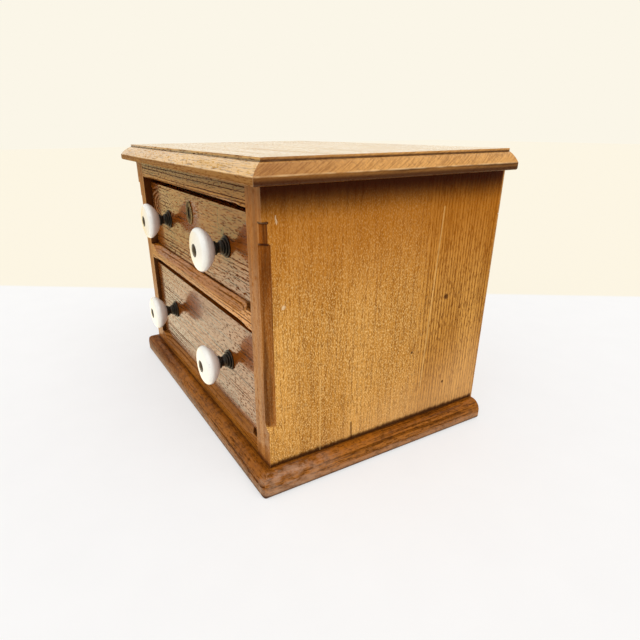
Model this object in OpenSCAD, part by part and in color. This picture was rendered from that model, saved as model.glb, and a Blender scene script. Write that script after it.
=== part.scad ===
// Two-drawer table chest: a boarded oak case with a moulded top, stopped
// chamfers, a mitred plinth and two dovetailed drawers with porcelain knobs.
// X runs across the front, Y runs from front to back, Z is up.
// The origin is on the floor, under the middle of the chest's outer box.

/* [Case] */
// Width across the outside of the two side boards
case_width = 305; // [270:1:360]
// Depth of the side boards, without the back boards
case_depth = 213; // [180:1:260]
// Thickness of a side board
side_thickness = 22; // [18:0.5:26]
// Thickness of the back boards
back_thickness = 6; // [4:0.5:10]
// Inset of the back boards' ends from the outside of the side boards
back_inset = 3.8; // [0:0.2:5]
// Open joint between neighbouring back boards
back_joint = 0.4; // [0.2:0.1:1]
// Height of the lowest back board above the floor
back_foot = 1; // [0.5:0.5:4]

/* [Openings and rails] */
// Height of the lower drawer's floor above the ground
bottom_rail_top = 32.5; // [28:0.5:45]
// Height of the lower drawer opening
lower_opening = 89; // [70:1:120]
// Height of the rail between the drawers
middle_rail_height = 14.8; // [13:0.2:24]
// Height of the upper drawer opening
upper_opening = 70; // [60:1:100]
// Height of the rail under the top
top_rail_height = 16.4; // [14:0.2:26]
// Depth of the top and middle rails from front to back
rail_depth = 45; // [36:1:60]
// Depth of the back rail under the top
back_rail_depth = 24; // [16:1:40]
// Thickness of the bottom rail from front to back
bottom_rail_thickness = 22; // [16:0.5:30]
// Height of the bottom rail's lower edge above the floor
bottom_rail_foot = 3; // [1:0.5:8]
// Length of each rail's tenon in the side board
rail_tenon = 8; // [5:0.5:12]
// Shoulder around each tenon
tenon_shoulder = 3; // [2:0.5:4]
// Thickness of the bottom board
bottom_thickness = 10; // [7:0.5:14]
// Depth of the housings in each side board for the bottom board and the back rail
housing_depth = 6; // [3:0.5:9]
// Width of the runners and kickers along the side boards
runner_width = 14; // [11:0.5:20]

/* [Top] */
// Thickness of the top board
top_thickness = 15; // [14:0.5:22]
// Overhang of the top past the front of the case
top_front_overhang = 11.5; // [8:0.5:20]
// Overhang of the top past each side
top_side_overhang = 15.5; // [8:0.5:22]
// Setback of the top's back edge from the back of the side boards
top_back_setback = 4.5; // [0:0.5:8]
// Run of the swelling slope on the top's edge
top_slope_run = 9; // [6:0.5:10.5]
// Rise of that slope
top_slope_rise = 7.4; // [5:0.2:8]
// Swelling of that slope past its chord
top_slope_bulge = 0.7; // [0.3:0.1:1.5]
// Height of the small square step above the slope
top_step = 2.4; // [1:0.2:3]
// Width of the ledge at the foot of that step
top_ledge = 0.6; // [0.4:0.1:3]
// Radius of the worn lower edge of the top
top_foot_round = 1.5; // [0.5:0.1:2.5]

/* [Plinth] */
// Height of the plinth moulding
plinth_height = 18; // [16:0.5:26]
// Projection of the plinth from the case
plinth_projection = 12; // [8:0.5:14]
// Flat on top of the plinth next to the case
plinth_flat = 2.5; // [2:0.5:4]
// Radius of the plinth's worn lower edge
plinth_foot_round = 3; // [1:0.5:3.5]
// Radius of the plinth's worn front corners
plinth_corner = 6.5; // [1:0.5:7]

/* [Chamfers] */
// Chamfer on the upper edges of the middle and bottom rails
rail_chamfer = 6.2; // [3:0.2:8]
// Chamfer on the lower edges of the top and middle rails
under_chamfer = 2.3; // [1:0.1:4]
// Chamfer on the outer front corners of the side boards
corner_chamfer = 6; // [3:0.5:9]
// Length over which a rail's chamfer sweeps out at each end
rail_fade = 20; // [10:1:40]
// Plain length of rail left past the sweep
rail_plain_end = 7; // [1:0.5:12]
// Length over which a corner chamfer sweeps out at its lower end
corner_fade = 8; // [4:0.5:20]
// Height above the floor where a corner chamfer begins
corner_low_stop = 48; // [40:1:70]
// Distance below the top board where a corner chamfer ends
corner_high_stop = 23; // [16:0.5:50]
// Length of the shallow stretch at a corner chamfer's upper end
corner_step_length = 13.5; // [6:0.5:20]
// Chamfer on that shallow stretch
corner_step_chamfer = 4; // [1.5:0.1:5]

/* [Drawers] */
// Setback of the upper drawer's front behind the case
upper_recess = 7.5; // [2:0.5:10]
// Setback of the lower drawer's front behind the case
lower_recess = 4; // [2:0.5:10]
// Gap over the closed upper drawer
upper_headroom = 5.5; // [1:0.1:6]
// Gap over the closed lower drawer
lower_headroom = 5.8; // [1:0.1:6]
// Gap between a drawer and the case at each side
drawer_side_gap = 0.6; // [0.4:0.1:1.5]
// Running gap under a drawer and in front of its stops
running_gap = 0.3; // [0.2:0.1:0.6]
// Depth of the stops behind the deeper-set drawer
stop_depth = 10; // [6:0.5:20]
// Height of the drawer stops
stop_height = 12; // [8:0.5:20]
// Thickness of a drawer front
front_thickness = 18; // [16:0.5:22]
// Thickness of a drawer's sides
lining_thickness = 9; // [7:0.5:12]
// Thickness of a drawer's back
drawer_back_thickness = 9; // [7:0.5:12]
// Thickness of a drawer's bottom
drawer_bottom_thickness = 5; // [4:0.5:7]
// Height of a drawer's bottom above its lower edge
drawer_bottom_rise = 6; // [4:0.5:10]
// Depth of the grooves that hold a drawer's bottom and back
groove_depth = 4; // [2.5:0.5:5]
// Drop of a drawer's back below its sides
drawer_back_drop = 5; // [2:0.5:10]
// Wood left in front of the dovetails
dovetail_lap = 6; // [4:0.5:8]
// Width of a dovetail at its wide end
tail_width = 20; // [14:0.5:21]
// Narrowing of a dovetail on each edge
tail_slope = 2; // [1:0.25:3]
// Number of dovetails at each front corner of the upper drawer
upper_tails = 2; // [1:1:2]
// Number of dovetails at each front corner of the lower drawer
lower_tails = 3; // [1:1:3]

/* [Knobs] */
// Distance between the two knobs on a drawer
knob_spacing = 148; // [100:1:190]
// Height of the knobs above the middle of a drawer front
knob_rise = 1.5; // [0:0.1:5]
// Diameter of the porcelain knob
knob_diameter = 33; // [28:0.5:40]
// Depth of the knob from its seat on the stem to its widest ring
knob_back_depth = 9.5; // [8:0.1:12]
// Bulge of the knob's face past its widest ring
knob_face_bulge = 4.9; // [4.5:0.1:8]
// Height cut off the knob's round back for its seat on the stem
knob_seat_cut = 1.2; // [0.8:0.1:2]
// Roundness of the knob's widest ring
knob_rim = 3.6; // [2:0.1:4]
// Length of the iron stem between drawer front and knob
stem_length = 11.5; // [10:0.5:14]
// Radius of the stem's foot ring on the drawer front
stem_foot_radius = 8.5; // [8:0.25:11]
// Radius of the stem's collar behind the knob
stem_collar_radius = 5.4; // [4.8:0.1:6.2]
// Radius of the stem at its waist
stem_waist_radius = 4; // [3:0.1:4.4]
// Height of each of the stem's three foot rings
stem_ring_height = 1.6; // [1.2:0.1:2]
// Height of the stem's collar
stem_collar_height = 2.2; // [1.5:0.1:3]
// Radius of the knob's through bolt
bolt_radius = 2; // [1.5:0.1:2.4]
// Radius of the bolt's domed head
bolt_head_radius = 5; // [4:0.1:6]
// Height of the bolt's domed head
bolt_head_height = 1.7; // [1:0.1:2.5]
// Depth of the seat for the bolt's head in the knob's face
bolt_seat_depth = 1; // [0.6:0.1:1.5]
// Length of bolt that stands past its nut
bolt_tail = 2; // [0.5:0.5:5]
// Radius of the washer under the nut
washer_radius = 6; // [5:0.5:8]
// Thickness of the washer
washer_thickness = 1; // [0.6:0.1:2]
// Side of the square nut
nut_side = 8.5; // [7:0.5:11]
// Thickness of the square nut
nut_thickness = 3.6; // [2.5:0.1:6]

/* [Lock] */
// Distance of the lock from the middle of the drawer, to the left
lock_offset = 8; // [0:0.5:12]
// Height of the escutcheon plate
escutcheon_height = 20; // [16:0.5:26]
// Width of the escutcheon plate
escutcheon_width = 15; // [12:0.5:15.5]
// Height cut off each pointed end of the escutcheon plate
escutcheon_tip = 1.2; // [0.5:0.1:3]
// Thickness of the escutcheon plate
escutcheon_thickness = 1; // [0.6:0.1:1.8]
// Radius of the round part of the keyhole
keyhole_radius = 2.5; // [2:0.1:3]
// Width of the keyhole's slot
keyhole_slot = 2.8; // [2:0.1:3.6]
// Distance from the keyhole's round centre to the slot's foot
keyhole_drop = 8; // [6:0.5:8.5]
// Distance of the keyhole's round centre below the drawer front's edge
keyhole_depth = 13; // [13:0.5:20]
// Width of the lock's case
lock_width = 40; // [32:1:56]
// Height of the lock's case
lock_height = 30; // [28:1:38]
// Depth of the lock's case in the drawer front
lock_depth = 9; // [8:0.5:11]
// Wall of the lock's case
lock_wall = 1.2; // [0.8:0.1:1.5]
// Thickness of the lock's mounting plate
lock_plate_thickness = 1.5; // [1:0.1:2.5]
// Margin of the mounting plate past the case on each side
lock_plate_margin = 10; // [8:0.5:14]
// Width of the lock's bolt
lock_bolt_width = 14; // [8:0.5:20]
// Thickness of the lock's bolt
lock_bolt_thickness = 4.5; // [3:0.1:5]
// Travel of the lock's bolt
lock_throw = 7.5; // [5:0.5:9]
// Sliding gap around the lock's bolt
lock_gap = 0.3; // [0.2:0.1:0.5]
// Room around the lock's bolt in the top rail
strike_room = 1.2; // [0.6:0.1:2]

/* [Fasteners] */
// Gap between a fastener and its hole
fastener_gap = 0.1; // [0.05:0.05:0.2]
// Radius of a back nail's shank
nail_radius = 1; // [0.7:0.1:1.4]
// Radius of a back nail's head
nail_head_radius = 2.2; // [1.8:0.1:3]
// Thickness of a back nail's head
nail_head_thickness = 1.2; // [0.8:0.1:2]
// Length of a back nail
nail_length = 22; // [16:0.5:30]
// Distance of a back nail from its board's edge
nail_edge = 9; // [6:0.5:11]
// Radius of a top screw's shank
screw_radius = 1.8; // [1.4:0.1:2.4]
// Radius of a top screw's countersunk head
screw_head_radius = 3.6; // [3:0.1:4.4]
// Grip of a top screw in the top board
screw_grip = 9; // [6:0.5:11]
// Number of screws along each kicker
screw_count = 3; // [2:1:4]
// Distance of the end screws from a kicker's ends
screw_margin = 20; // [12:1:40]
// Radius of a small brad under a drawer or in the lock's plate
brad_radius = 0.8; // [0.6:0.1:1]
// Radius of a small brad's head
brad_head_radius = 1.7; // [1.3:0.1:2.2]
// Thickness of a small brad's head
brad_head_thickness = 0.8; // [0.5:0.1:1.2]
// Grip of a small brad in the wood behind what it holds
brad_grip = 7; // [5:0.5:8]
// Number of brads along a drawer's back
brad_count = 3; // [2:1:5]
// Distance of the end brads from a drawer's sides
brad_margin = 30; // [15:1:60]

/* [Hidden] */
$fn = 64;
// Extra reach of a cutting shape past the face that it cuts
cut_margin = 1;

// Shares of the back's height at the edges of its five boards, which differ in width
back_joint_shares = [0, 0.176, 0.431, 0.623, 0.84, 1];

// Case frame
half_width = case_width / 2;
inner_half = half_width - side_thickness;
opening_width = 2 * inner_half;
case_back = case_depth + back_thickness;
lower_floor = bottom_rail_top;
lower_ceiling = lower_floor + lower_opening;
upper_floor = lower_ceiling + middle_rail_height;
upper_ceiling = upper_floor + upper_opening;
case_top = upper_ceiling + top_rail_height;
back_span = case_top - back_foot;
back_rail_front = case_depth - back_rail_depth;
top_back = case_depth - top_back_setback;
top_shoulder = top_thickness - top_step;
top_fascia = top_shoulder - top_slope_rise;
slope_chord = norm([top_slope_run, top_slope_rise]);
slope_radius = (pow(slope_chord, 2) / 4 + pow(top_slope_bulge, 2)) / (2 * top_slope_bulge);
slope_middle = [top_slope_run / 2, top_fascia + top_slope_rise / 2];
slope_inwards = [top_slope_rise, -top_slope_run] / slope_chord;
slope_centre = slope_middle + (slope_radius - top_slope_bulge) * slope_inwards;
plinth_ovolo = plinth_projection - plinth_flat;

// Drawers
drawer_width = opening_width - 2 * drawer_side_gap;
drawer_inner_half = drawer_width / 2 - lining_thickness;
drawer_length = case_depth - max(upper_recess, lower_recess) - running_gap - stop_depth;
upper_base = upper_floor + running_gap;
lower_base = lower_floor + running_gap;
upper_height = upper_ceiling - upper_headroom - upper_base;
lower_height = lower_ceiling - lower_headroom - lower_base;
panel_top = drawer_bottom_rise + drawer_bottom_thickness;

// Knobs, measured outwards from the drawer front
knob_radius = knob_diameter / 2;
rim_centre = knob_radius - knob_rim;
knob_ring_reach = stem_length + knob_back_depth;
knob_back_bulge = knob_back_depth + knob_seat_cut;
knob_face = knob_ring_reach + knob_face_bulge;
bolt_seat = knob_face - bolt_seat_depth;
bolt_hole = bolt_radius + fastener_gap;
knob_reach = bolt_seat + bolt_head_height;

// Lock, measured from the drawer front's upper edge
lock_x = -lock_offset;
lock_top = upper_base + upper_height;
lock_back = upper_recess + front_thickness;
keyhole_z = lock_top - keyhole_depth;
plate_width = lock_width + 2 * lock_plate_margin;
bolt_y = lock_back - lock_plate_thickness - lock_depth / 2;
lock_bolt_length = keyhole_depth - keyhole_radius - lock_gap;

// The outer box runs from the foremost knob to the back boards
front_reach = max(knob_reach - min(upper_recess, lower_recess), plinth_projection, top_front_overhang);
frame_shift = (front_reach - case_back) / 2;

oak = "#a9763c";
dark_oak = "#8a5a2b";
deal = "#c9a36b";
white = "#f3f1ea";
iron = "#33302c";
brass = "#a08a55";

// Shared helpers

// Moves a piece from the case's own axes, where Y is 0 at the front, to the chest's frame
module in_frame() {
    translate([0, frame_shift, 0]) children();
}

// A box given by its low corner and its high corner
module block(low, high) {
    translate(low) cube(high - low);
}

module left_and_right() {
    children();
    mirror([1, 0, 0]) children();
}

// Straight stretch of a cut that takes a 45 degree chamfer off an edge.
// The edge lies on the X axis, with wood behind it and under it.
module chamfer_run(start, end, size) {
    depth = size / sqrt(2);
    rotate([45, 0, 0]) translate([start, -size, -depth]) cube([end - start, 2 * size, size]);
}

// Round sweep in which such a chamfer runs out of the wood past one end
module chamfer_sweep(end, fade, size) {
    depth = size / sqrt(2);
    radius = (pow(fade, 2) + pow(depth, 2)) / (2 * depth);
    rotate([45, 0, 0]) translate([end, 0, radius - depth])
        rotate([90, 0, 0]) cylinder(r = radius, h = 2 * size, center = true);
}

module rail_edge_chamfer(size) {
    end = inner_half - rail_plain_end - rail_fade;
    chamfer_run(-end, end, size);
    left_and_right() chamfer_sweep(end, rail_fade, size);
}

// Chamfer up the outer front corner of the right side board, with a shallow stretch at its upper end
module corner_cut() {
    start = corner_low_stop + corner_fade;
    end = case_top - corner_high_stop;
    step = end - corner_step_length;
    translate([half_width, 0, 0]) mirror([1, 0, 0]) rotate([0, -90, 0]) {
        chamfer_sweep(start, corner_fade, corner_chamfer);
        chamfer_run(start, step, corner_chamfer);
        chamfer_run(step, end, corner_step_chamfer);
    }
}

// Case

// Section of a board's moulded edge, from 0 inwards: fascia with a worn foot, slope, ledge and step
module moulded_edge(width) {
    intersection() {
        square([width, top_thickness]);
        union() {
            translate([top_foot_round, 0]) square([width, top_foot_round]);
            translate([top_foot_round, top_foot_round]) circle(r = top_foot_round);
            translate([0, top_foot_round]) square([width, top_fascia - top_foot_round]);
            intersection() {
                translate([0, top_fascia]) square([width, top_slope_rise]);
                translate(slope_centre) circle(r = slope_radius);
            }
            translate([top_slope_run, 0]) square([width, top_shoulder]);
            translate([top_slope_run + top_ledge, 0]) square([width, top_thickness]);
        }
    }
}

module top_board() {
    width = case_width + 2 * top_side_overhang;
    depth = top_back + top_front_overhang;
    color(oak) in_frame() difference() {
        translate([0, 0, case_top]) intersection() {
            translate([-width / 2, -top_front_overhang, 0])
                rotate([90, 0, 90]) linear_extrude(width) moulded_edge(depth);
            translate([0, top_back, 0]) rotate([90, 0, 0]) linear_extrude(depth) intersection() {
                translate([-width / 2, 0]) moulded_edge(width);
                mirror([1, 0]) translate([-width / 2, 0]) moulded_edge(width);
            }
        }
        top_screw_set(fastener_gap);
    }
}

// Tenon of a rail at the right side board, which is also the shape of its mortise
module rail_tenon_at(low, high, depth) {
    block([inner_half, tenon_shoulder, low + tenon_shoulder],
          [inner_half + rail_tenon, depth - tenon_shoulder, high - tenon_shoulder]);
}

module top_rail_tenon() {
    rail_tenon_at(upper_ceiling, case_top, rail_depth);
}

module middle_rail_tenon() {
    rail_tenon_at(lower_ceiling, upper_floor, rail_depth);
}

module bottom_rail_tenon() {
    rail_tenon_at(bottom_rail_foot, lower_floor, bottom_rail_thickness);
}

module bottom_panel() {
    block([-inner_half - housing_depth, bottom_rail_thickness, lower_floor - bottom_thickness],
          [inner_half + housing_depth, case_depth, lower_floor]);
}

module back_rail_bar() {
    block([-inner_half - housing_depth, back_rail_front, upper_ceiling],
          [inner_half + housing_depth, case_depth, case_top]);
}

module side_board() {
    difference() {
        block([inner_half, 0, 0], [half_width, case_depth, case_top]);
        top_rail_tenon();
        middle_rail_tenon();
        bottom_rail_tenon();
        bottom_panel();
        back_rail_bar();
        back_nail_set(fastener_gap);
        corner_cut();
    }
}

module left_side() {
    color(oak) in_frame() mirror([1, 0, 0]) side_board();
}

module right_side() {
    color(oak) in_frame() side_board();
}

module top_rail() {
    color(oak) in_frame() difference() {
        union() {
            block([-inner_half, 0, upper_ceiling], [inner_half, rail_depth, case_top]);
            left_and_right() top_rail_tenon();
        }
        translate([0, 0, upper_ceiling]) mirror([0, 0, 1]) rail_edge_chamfer(under_chamfer);
        strike_mortise();
    }
}

module middle_rail() {
    color(oak) in_frame() difference() {
        union() {
            block([-inner_half, 0, lower_ceiling], [inner_half, rail_depth, upper_floor]);
            left_and_right() middle_rail_tenon();
        }
        translate([0, 0, upper_floor]) rail_edge_chamfer(rail_chamfer);
        translate([0, 0, lower_ceiling]) mirror([0, 0, 1]) rail_edge_chamfer(under_chamfer);
    }
}

module bottom_rail() {
    color(oak) in_frame() difference() {
        union() {
            block([-inner_half, 0, bottom_rail_foot], [inner_half, bottom_rail_thickness, lower_floor]);
            left_and_right() bottom_rail_tenon();
        }
        translate([0, 0, lower_floor]) rail_edge_chamfer(rail_chamfer);
    }
}

module bottom_board() {
    color(deal) in_frame() bottom_panel();
}

module back_rail() {
    color(deal) in_frame() back_rail_bar();
}

// Strip along the right side board between two heights, from a front rail to the given depth
module side_strip(low, high, back) {
    block([inner_half - runner_width, rail_depth, low], [inner_half, back, high]);
}

module left_runner() {
    color(deal) in_frame() mirror([1, 0, 0]) side_strip(lower_ceiling, upper_floor, case_depth);
}

module right_runner() {
    color(deal) in_frame() side_strip(lower_ceiling, upper_floor, case_depth);
}

module kicker() {
    difference() {
        side_strip(upper_ceiling, case_top, back_rail_front);
        top_screw_set(fastener_gap);
    }
}

module left_kicker() {
    color(deal) in_frame() mirror([1, 0, 0]) kicker();
}

module right_kicker() {
    color(deal) in_frame() kicker();
}

// Pair of blocks that stop a drawer of the given setback, standing on its floor
module stop_pair(recess, floor_height) {
    front = recess + drawer_length + running_gap;
    left_and_right()
        block([inner_half - runner_width, front, floor_height],
              [inner_half, case_depth, floor_height + stop_height]);
}

module upper_drawer_stops() {
    color(deal) in_frame() stop_pair(upper_recess, upper_floor);
}

module lower_drawer_stops() {
    color(deal) in_frame() stop_pair(lower_recess, lower_floor);
}

// Height of a back board's lower edge, counted from the bottom
function back_low(number) = back_foot + back_span * back_joint_shares[number - 1];

function back_high(number) = back_low(number + 1) - back_joint;

module back_board(number) {
    half = half_width - back_inset;
    color(deal) in_frame() difference() {
        block([-half, case_depth, back_low(number)], [half, case_back, back_high(number)]);
        left_and_right() back_nail_set(fastener_gap);
    }
}

module back_board_1() back_board(1);
module back_board_2() back_board(2);
module back_board_3() back_board(3);
module back_board_4() back_board(4);
module back_board_5() back_board(5);

// Nail driven forwards from the back, with its head flush
module back_nail(gap) {
    rotate([90, 0, 0]) {
        translate([0, 0, -gap]) cylinder(r = nail_head_radius + gap, h = nail_head_thickness + gap);
        cylinder(r = nail_radius + gap, h = nail_length + gap);
    }
}

// Nails of the right ends of all back boards
module back_nail_set(gap) {
    for (number = [1 : 5]) {
        for (height = [back_low(number) + nail_edge, back_high(number) - nail_edge])
            translate([half_width - side_thickness / 2, case_back, height]) back_nail(gap);
    }
}

module back_nails() {
    color(iron) in_frame() left_and_right() back_nail_set(0);
}

// Countersunk screw driven upwards from a kicker's underside
module top_screw(gap) {
    translate([0, 0, -gap])
        cylinder(r1 = screw_head_radius + gap, r2 = screw_radius + gap, h = screw_head_radius - screw_radius);
    cylinder(r = screw_radius + gap, h = top_rail_height + screw_grip + gap);
}

module top_screw_set(gap) {
    across = inner_half - runner_width / 2;
    first = rail_depth + screw_margin;
    last = back_rail_front - screw_margin;
    pitch = (last - first) / (screw_count - 1);
    left_and_right()
        for (step = [0 : screw_count - 1])
            translate([across, first + pitch * step, upper_ceiling]) top_screw(gap);
}

module top_screws() {
    color(iron) in_frame() top_screw_set(0);
}

// Plinth

// Section of the plinth, from the case outwards
module plinth_section() {
    foot = plinth_projection - plinth_foot_round;
    intersection() {
        square([plinth_projection, plinth_height]);
        union() {
            square([foot, plinth_foot_round]);
            translate([foot, plinth_foot_round]) circle(r = plinth_foot_round);
            translate([0, plinth_foot_round])
                square([plinth_projection, plinth_height - plinth_ovolo - plinth_foot_round]);
            square([plinth_flat, plinth_height]);
            translate([plinth_flat, plinth_height - plinth_ovolo]) circle(r = plinth_ovolo);
        }
    }
}

// Plan of the plinth's outside, with worn front corners
module plinth_plan() {
    half = half_width + plinth_projection;
    front = -plinth_projection;
    translate([-half, front + plinth_corner]) square([2 * half, case_depth - front - plinth_corner]);
    translate([plinth_corner - half, front]) square([2 * (half - plinth_corner), case_depth - front]);
    for (side = [-1, 1])
        translate([side * (half - plinth_corner), front + plinth_corner]) circle(r = plinth_corner);
}

module plinth_front() {
    outer = half_width + plinth_projection;
    front = -plinth_projection;
    color(dark_oak) in_frame() intersection() {
        translate([-outer, 0, 0]) mirror([0, 1, 0])
            rotate([90, 0, 90]) linear_extrude(2 * outer) plinth_section();
        linear_extrude(plinth_height) intersection() {
            plinth_plan();
            polygon([[-half_width, 0], [half_width, 0], [outer, front], [-outer, front]]);
        }
    }
}

module plinth_return() {
    outer = half_width + plinth_projection;
    front = -plinth_projection;
    intersection() {
        translate([half_width, case_depth, 0])
            rotate([90, 0, 0]) linear_extrude(case_depth - front) plinth_section();
        linear_extrude(plinth_height) intersection() {
            plinth_plan();
            polygon([[half_width, 0], [outer, front], [outer, case_depth], [half_width, case_depth]]);
        }
    }
}

module plinth_left() {
    color(dark_oak) in_frame() mirror([1, 0, 0]) plinth_return();
}

module plinth_right() {
    color(dark_oak) in_frame() plinth_return();
}

// Drawers

// Dovetails at the right front corner of a drawer, which are also the shape of their sockets
module dovetails(recess, base, height, count) {
    tip = recess + dovetail_lap;
    root = recess + front_thickness;
    pitch = height / count;
    outer = drawer_width / 2;
    for (number = [0 : count - 1])
        translate([outer - lining_thickness, 0, base + (number + 0.5) * pitch])
            rotate([90, 0, 90]) linear_extrude(lining_thickness)
                polygon([
                    [root, -tail_width / 2 + tail_slope], [tip, -tail_width / 2],
                    [tip, tail_width / 2], [root, tail_width / 2 - tail_slope]
                ]);
}

// Drawer bottom, which is also the shape of its grooves
module drawer_panel(recess, base) {
    half = drawer_inner_half + groove_depth;
    block([-half, recess + front_thickness - groove_depth, base + drawer_bottom_rise],
          [half, recess + drawer_length, base + panel_top]);
}

// Drawer back, which is also the shape of its housings
module drawer_back_board(recess, base, height) {
    half = drawer_inner_half + groove_depth;
    back = recess + drawer_length;
    block([-half, back - drawer_back_thickness, base + panel_top],
          [half, back, base + height - drawer_back_drop]);
}

module drawer_front(recess, base, height, tails) {
    difference() {
        block([-drawer_width / 2, recess, base], [drawer_width / 2, recess + front_thickness, base + height]);
        left_and_right() dovetails(recess, base, height, tails);
        drawer_panel(recess, base);
        left_and_right() at_knob(recess, base, height)
            translate([0, 0, -front_thickness - cut_margin])
                cylinder(r = bolt_hole, h = front_thickness + 2 * cut_margin);
    }
}

// Right side of a drawer
module drawer_lining(recess, base, height, tails) {
    outer = drawer_width / 2;
    difference() {
        union() {
            dovetails(recess, base, height, tails);
            block([outer - lining_thickness, recess + front_thickness, base],
                  [outer, recess + drawer_length, base + height]);
        }
        drawer_panel(recess, base);
        drawer_back_board(recess, base, height);
    }
}

// Brad driven upwards through the drawer bottom into the drawer back
module bottom_brad_set(recess, base, gap) {
    first = brad_margin - drawer_inner_half;
    pitch = -2 * first / (brad_count - 1);
    back_middle = recess + drawer_length - drawer_back_thickness / 2;
    for (step = [0 : brad_count - 1])
        translate([first + pitch * step, back_middle, base + drawer_bottom_rise])
            brad(drawer_bottom_thickness + brad_grip, gap);
}

// Brad that points up, with its head flush at height 0
module brad(length, gap) {
    translate([0, 0, -gap]) cylinder(r = brad_head_radius + gap, h = brad_head_thickness + gap);
    cylinder(r = brad_radius + gap, h = length + gap);
}

module drawer_back(recess, base, height) {
    difference() {
        drawer_back_board(recess, base, height);
        bottom_brad_set(recess, base, fastener_gap);
    }
}

module drawer_bottom(recess, base) {
    difference() {
        drawer_panel(recess, base);
        bottom_brad_set(recess, base, fastener_gap);
    }
}

module upper_drawer_front() {
    color(oak) in_frame() difference() {
        drawer_front(upper_recess, upper_base, upper_height, upper_tails);
        lock_seat();
        keyhole_cut();
        lock_brad_set(fastener_gap);
    }
}

module upper_drawer_left() {
    color(deal) in_frame() mirror([1, 0, 0])
        drawer_lining(upper_recess, upper_base, upper_height, upper_tails);
}

module upper_drawer_right() {
    color(deal) in_frame() drawer_lining(upper_recess, upper_base, upper_height, upper_tails);
}

module upper_drawer_back() {
    color(deal) in_frame() drawer_back(upper_recess, upper_base, upper_height);
}

module upper_drawer_bottom() {
    color(deal) in_frame() drawer_bottom(upper_recess, upper_base);
}

module upper_bottom_brads() {
    color(iron) in_frame() bottom_brad_set(upper_recess, upper_base, 0);
}

module lower_drawer_front() {
    color(oak) in_frame() drawer_front(lower_recess, lower_base, lower_height, lower_tails);
}

module lower_drawer_left() {
    color(deal) in_frame() mirror([1, 0, 0])
        drawer_lining(lower_recess, lower_base, lower_height, lower_tails);
}

module lower_drawer_right() {
    color(deal) in_frame() drawer_lining(lower_recess, lower_base, lower_height, lower_tails);
}

module lower_drawer_back() {
    color(deal) in_frame() drawer_back(lower_recess, lower_base, lower_height);
}

module lower_drawer_bottom() {
    color(deal) in_frame() drawer_bottom(lower_recess, lower_base);
}

module lower_bottom_brads() {
    color(iron) in_frame() bottom_brad_set(lower_recess, lower_base, 0);
}

// Knobs

// Places a piece on the right knob's axis, with Z pointing out of the drawer front
module at_knob(recess, base, height) {
    translate([knob_spacing / 2, recess, base + height / 2 + knob_rise]) rotate([90, 0, 0]) children();
}

module at_left_knob(recess, base, height) {
    mirror([1, 0, 0]) at_knob(recess, base, height) children();
}

// Radius of the arc that runs from an apex on the axis into the knob's rounded rim
function cap_radius(bulge) =
    (pow(rim_centre, 2) + pow(bulge, 2) - pow(knob_rim, 2)) / (2 * (bulge - knob_rim));

// Direction, from the rim's centre, in which such an arc meets the rim
function rim_direction(bulge) =
    let (reach = [rim_centre, cap_radius(bulge) - bulge]) reach / norm(reach);

// Half section of the knob: two caps that run smoothly into a round rim
module knob_section() {
    face_radius = cap_radius(knob_face_bulge);
    back_radius = cap_radius(knob_back_bulge);
    face_way = rim_direction(knob_face_bulge) * 2 * knob_rim;
    back_way = rim_direction(knob_back_bulge) * 2 * knob_rim;
    translate([rim_centre, knob_ring_reach]) circle(r = knob_rim);
    intersection() {
        translate([0, knob_face - face_radius]) circle(r = face_radius);
        translate([0, knob_ring_reach - knob_back_bulge + back_radius]) circle(r = back_radius);
        polygon([
            [0, 0], [rim_centre + back_way.x, knob_ring_reach - back_way.y],
            [rim_centre, knob_ring_reach],
            [rim_centre + face_way.x, knob_ring_reach + face_way.y], [0, 2 * knob_face]
        ]);
    }
}

module knob() {
    difference() {
        rotate_extrude() intersection() {
            knob_section();
            translate([0, stem_length]) square([knob_radius, knob_face]);
        }
        cylinder(r = bolt_hole, h = knob_face);
        translate([0, 0, bolt_seat]) cylinder(r = bolt_head_radius + fastener_gap, h = knob_face);
    }
}

// Half section of a ring with a half-round edge
module ring_section(radius, low, high) {
    edge = (high - low) / 2;
    translate([0, low]) square([radius - edge, 2 * edge]);
    translate([radius - edge, low + edge]) circle(r = edge);
}

// Stem: three stepped foot rings, a waisted neck and a collar
module stem() {
    ring_step = (stem_foot_radius - stem_collar_radius) / 2;
    neck_low = 3 * stem_ring_height;
    neck_high = stem_length - stem_collar_height;
    neck_middle = (neck_low + neck_high) / 2;
    waist_cut = (neck_high - neck_low) / 2;
    difference() {
        rotate_extrude() {
            for (number = [0 : 2])
                ring_section(stem_foot_radius - number * ring_step,
                             number * stem_ring_height, (number + 1) * stem_ring_height);
            difference() {
                translate([0, neck_low]) square([stem_collar_radius, neck_high - neck_low]);
                translate([stem_waist_radius + waist_cut, neck_middle]) circle(r = waist_cut);
            }
            ring_section(stem_collar_radius, neck_high, stem_length);
        }
        translate([0, 0, -cut_margin]) cylinder(r = bolt_hole, h = stem_length + 2 * cut_margin);
    }
}

module knob_bolt() {
    inside = front_thickness + washer_thickness + nut_thickness + bolt_tail;
    dome = (pow(bolt_head_radius, 2) + pow(bolt_head_height, 2)) / (2 * bolt_head_height);
    translate([0, 0, -inside]) cylinder(r = bolt_radius, h = inside + bolt_seat);
    translate([0, 0, bolt_seat]) rotate_extrude() intersection() {
        translate([0, bolt_head_height - dome]) circle(r = dome);
        square([bolt_head_radius, bolt_head_height]);
    }
}

module washer() {
    translate([0, 0, -front_thickness - washer_thickness]) difference() {
        cylinder(r = washer_radius, h = washer_thickness);
        translate([0, 0, -cut_margin]) cylinder(r = bolt_hole, h = washer_thickness + 2 * cut_margin);
    }
}

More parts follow.
